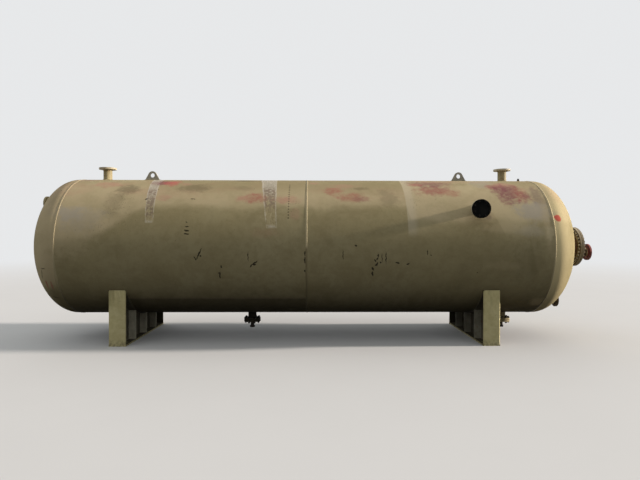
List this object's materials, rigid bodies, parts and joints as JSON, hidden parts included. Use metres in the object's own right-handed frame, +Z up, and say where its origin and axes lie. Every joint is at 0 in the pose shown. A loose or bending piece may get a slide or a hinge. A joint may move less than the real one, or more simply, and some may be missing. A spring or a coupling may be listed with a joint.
{
  "type": "three-phase separator",
  "caption": "Horizontal pressure vessel on two welded saddles, with dished heads, flanged nozzles, a bolted manway and lifting lugs.",
  "frame": {"origin": "middle of the left saddle's underside, on the ground", "axes": "+X along the vessel to the manway end, +Z up"},
  "size_m": [7.5816, 1.91, 2.3144],
  "materials": {
    "shell_paint": "matte khaki paint, dusty and scuffed",
    "head_paint": "matte khaki paint",
    "weld_paint": "painted weld bead",
    "nozzle_paint": "matte khaki paint, rust at edges",
    "manway_paint": "khaki paint with rust",
    "lug_paint": "khaki paint, worn at the hole",
    "saddle_paint": "matte khaki paint",
    "black_paint": "dull black paint",
    "primer_red": "red primer, weathered",
    "rusted_steel": "rust over bare steel",
    "plug_steel": "dark oiled steel",
    "gasket": "compressed sheet"
  },
  "bodies": {
    "root": {"shell_course_left": "shell_paint", "shell_course_right": "shell_paint", "head_left": "head_paint", "head_right": "head_paint", "girth_welds": "weld_paint", "top_left_nozzle_neck": "nozzle_paint", "top_left_nozzle_flange": "nozzle_paint", "top_right_nozzle_neck": "nozzle_paint", "top_right_nozzle_flange": "nozzle_paint", "side_nozzle_neck": "nozzle_paint", "side_nozzle_flange": "nozzle_paint", "bottom_left_nozzle_neck": "nozzle_paint", "bottom_left_nozzle_flange": "nozzle_paint", "bottom_right_nozzle_neck": "nozzle_paint", "bottom_right_nozzle_flange": "nozzle_paint", "left_head_nozzle_neck": "nozzle_paint", "left_head_nozzle_flange": "nozzle_paint", "right_head_nozzle_neck": "nozzle_paint", "right_head_nozzle_flange": "rusted_steel", "side_nozzle_cover": "black_paint", "bottom_left_nozzle_blind": "nozzle_paint", "bottom_left_nozzle_plug": "plug_steel", "bottom_right_nozzle_blind": "nozzle_paint", "bottom_right_nozzle_plug": "plug_steel", "manway_neck": "nozzle_paint", "manway_flange": "manway_paint", "manway_cover": "manway_paint", "cover_nozzle_neck": "nozzle_paint", "cover_nozzle_flange": "primer_red", "gaskets": "gasket", "lifting_lug_left": "lug_paint", "lifting_lug_right": "lug_paint", "top_coupling": "plug_steel", "left_saddle_base_plate": "saddle_paint", "left_saddle_web_plate": "saddle_paint", "left_saddle_end_plates": "saddle_paint", "left_saddle_ribs": "saddle_paint", "left_saddle_wear_plate": "saddle_paint", "right_saddle_base_plate": "saddle_paint", "right_saddle_web_plate": "saddle_paint", "right_saddle_end_plates": "saddle_paint", "right_saddle_ribs": "saddle_paint", "right_saddle_wear_plate": "saddle_paint"}
  },
  "joints": []
}
